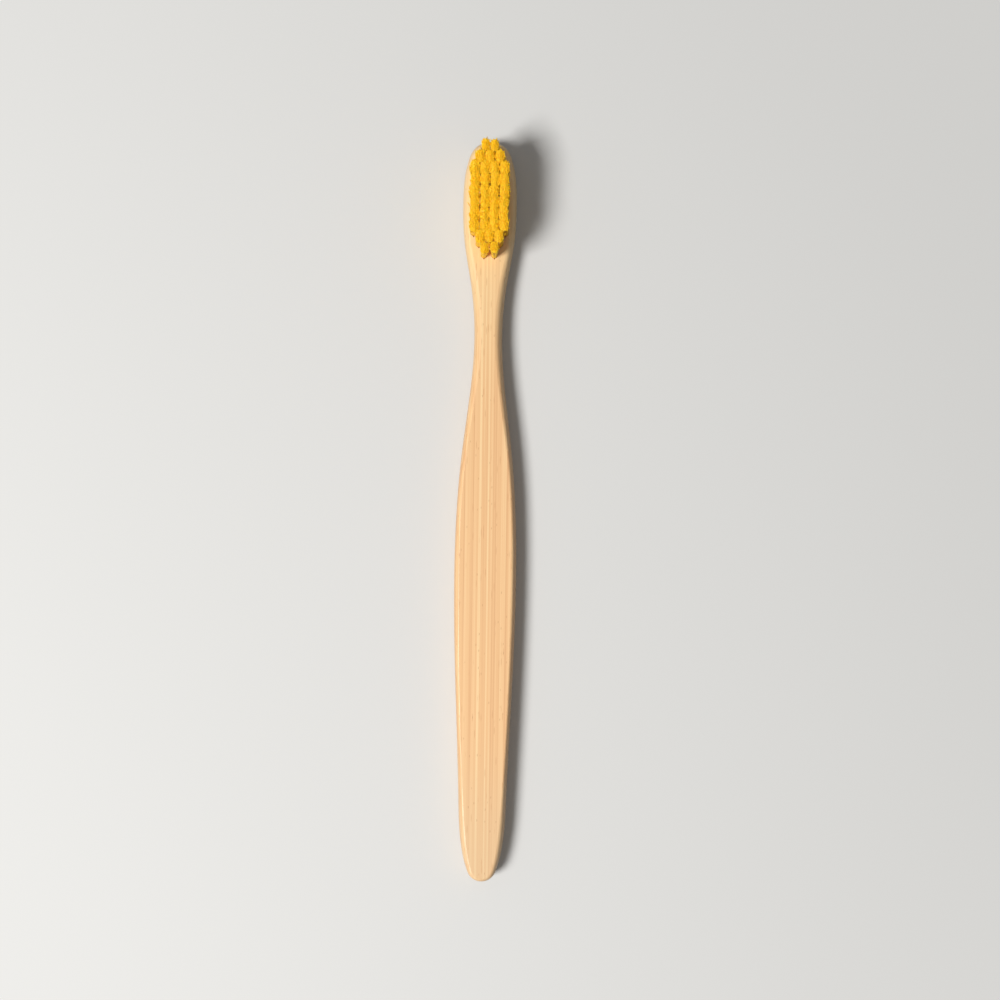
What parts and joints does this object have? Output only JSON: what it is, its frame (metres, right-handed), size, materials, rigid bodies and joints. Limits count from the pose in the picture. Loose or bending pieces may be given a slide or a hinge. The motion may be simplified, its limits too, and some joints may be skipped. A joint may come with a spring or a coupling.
{
  "type": "manual toothbrush",
  "caption": "Manual toothbrush with a flat, waisted bamboo handle and an oval head of yellow nylon tufts, each folded into a drilled hole under a flat metal anchor.",
  "frame": {"origin": "on the flat back, on the centre line and midway along the brush (bottom centre of its box)", "axes": "+Y from the tail to the head, +Z out of the tufted face, +X to the right of that face with the head up"},
  "size_m": [0.016, 0.19, 0.017],
  "materials": {
    "bamboo": "fine-sanded bamboo with straight fibre streaks and a thin wax finish",
    "bristle": "satin, slightly translucent yellow nylon filaments",
    "anchor": "bare cut flat wire"
  },
  "bodies": {
    "root": {"anchors_row01": "anchor", "anchors_row02": "anchor", "anchors_row03": "anchor", "anchors_row04": "anchor", "anchors_row05": "anchor", "anchors_row06": "anchor", "anchors_row07": "anchor", "anchors_row08": "anchor", "anchors_row09": "anchor", "anchors_row10": "anchor", "bamboo_handle": "bamboo", "tuft_row01_1": "bristle", "tuft_row01_2": "bristle", "tuft_row02_1": "bristle", "tuft_row02_2": "bristle", "tuft_row02_3": "bristle", "tuft_row03_1": "bristle", "tuft_row03_2": "bristle", "tuft_row03_3": "bristle", "tuft_row03_4": "bristle", "tuft_row04_1": "bristle", "tuft_row04_2": "bristle", "tuft_row04_3": "bristle", "tuft_row04_4": "bristle", "tuft_row05_1": "bristle", "tuft_row05_2": "bristle", "tuft_row05_3": "bristle", "tuft_row05_4": "bristle", "tuft_row06_1": "bristle", "tuft_row06_2": "bristle", "tuft_row06_3": "bristle", "tuft_row06_4": "bristle", "tuft_row07_1": "bristle", "tuft_row07_2": "bristle", "tuft_row07_3": "bristle", "tuft_row07_4": "bristle", "tuft_row08_1": "bristle", "tuft_row08_2": "bristle", "tuft_row08_3": "bristle", "tuft_row08_4": "bristle", "tuft_row09_1": "bristle", "tuft_row09_2": "bristle", "tuft_row09_3": "bristle", "tuft_row10_1": "bristle", "tuft_row10_2": "bristle"}
  },
  "joints": []
}
